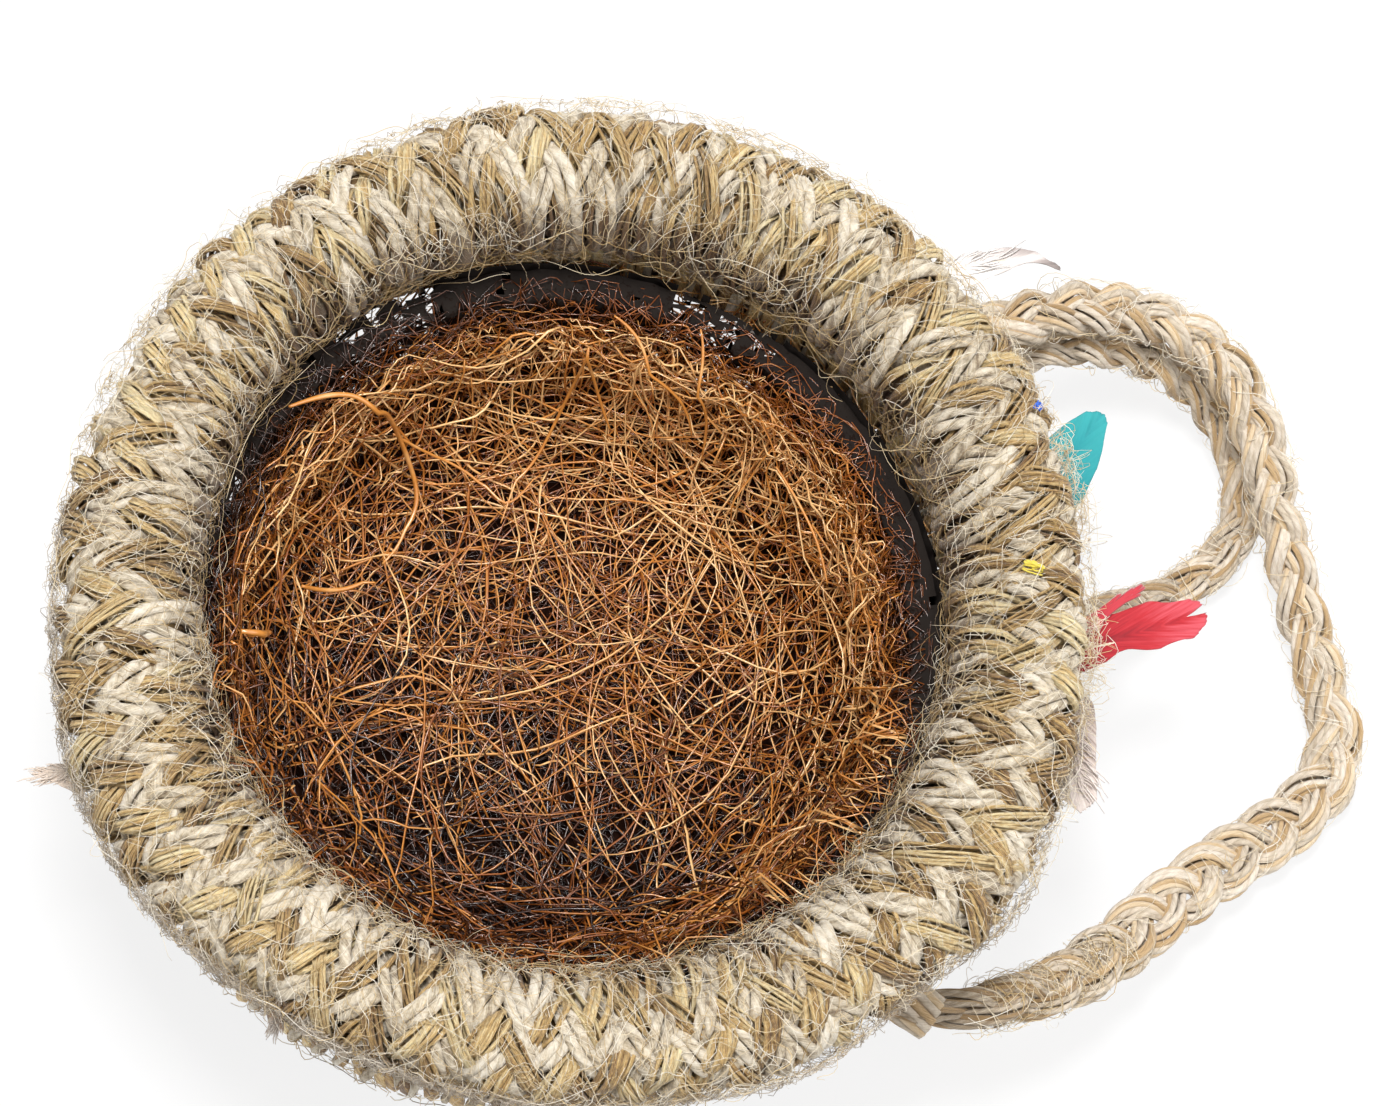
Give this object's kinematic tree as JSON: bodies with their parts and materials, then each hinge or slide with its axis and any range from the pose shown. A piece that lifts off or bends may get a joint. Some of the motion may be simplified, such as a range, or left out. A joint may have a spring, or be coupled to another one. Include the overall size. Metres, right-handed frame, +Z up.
{
  "type": "hanging basket",
  "caption": "Small round coir hanging basket with a thick jute and cotton lashed rim, a slack plaited hanger at its side and dyed feather trim.",
  "frame": {"origin": "on the flat bottom's face, under the centre of the rim", "axes": "+Z up out of the mouth; +X towards the side on which the slack hanger lies"},
  "size_m": [0.2051, 0.1502, 0.0658],
  "materials": {
    "jute": "golden fibre bundles with a soft sheen",
    "cotton": "matt off-white spun yarn",
    "coir": "glossy red-brown loose fibres",
    "coir_felt": "pressed brown fibre",
    "plait": "mixed jute and cotton, fuzzy",
    "hoop_wire": "galvanised",
    "quill": "smooth horn-like keratin",
    "teal_vane": "dyed barbs, soft sheen",
    "red_vane": "dyed barbs, soft sheen",
    "grey_vane": "downy undyed barbs",
    "pale_vane": "downy undyed barbs",
    "cream_vane": "downy undyed barbs",
    "brown_vane": "undyed barbs",
    "yellow_dye": "dyed yarn end",
    "blue_dye": "dyed yarn end"
  },
  "bodies": {
    "root": {"rim_core": "coir_felt", "rim_hoop": "hoop_wire", "rim_jute_lashing": "jute", "rim_cotton_lashing": "cotton", "collar_core": "coir_felt", "collar_lashing": "jute", "coir_bowl": "coir", "hanger_main_plait": "plait", "hanger_side_plait": "plait", "whipping_main_back": "jute", "whipping_main_front": "jute", "whipping_side_back": "jute", "whipping_side_front": "jute", "teal_feather_quill": "quill", "teal_feather_vane": "teal_vane", "red_feather_quill": "quill", "red_feather_vane": "red_vane", "grey_feather_quill": "quill", "grey_feather_vane": "grey_vane", "pale_feather_quill": "quill", "pale_feather_vane": "pale_vane", "cream_feather_quill": "quill", "cream_feather_vane": "cream_vane", "brown_feather_quill": "quill", "brown_feather_vane": "brown_vane", "yellow_yarn": "yellow_dye", "blue_yarn": "blue_dye"}
  },
  "joints": []
}
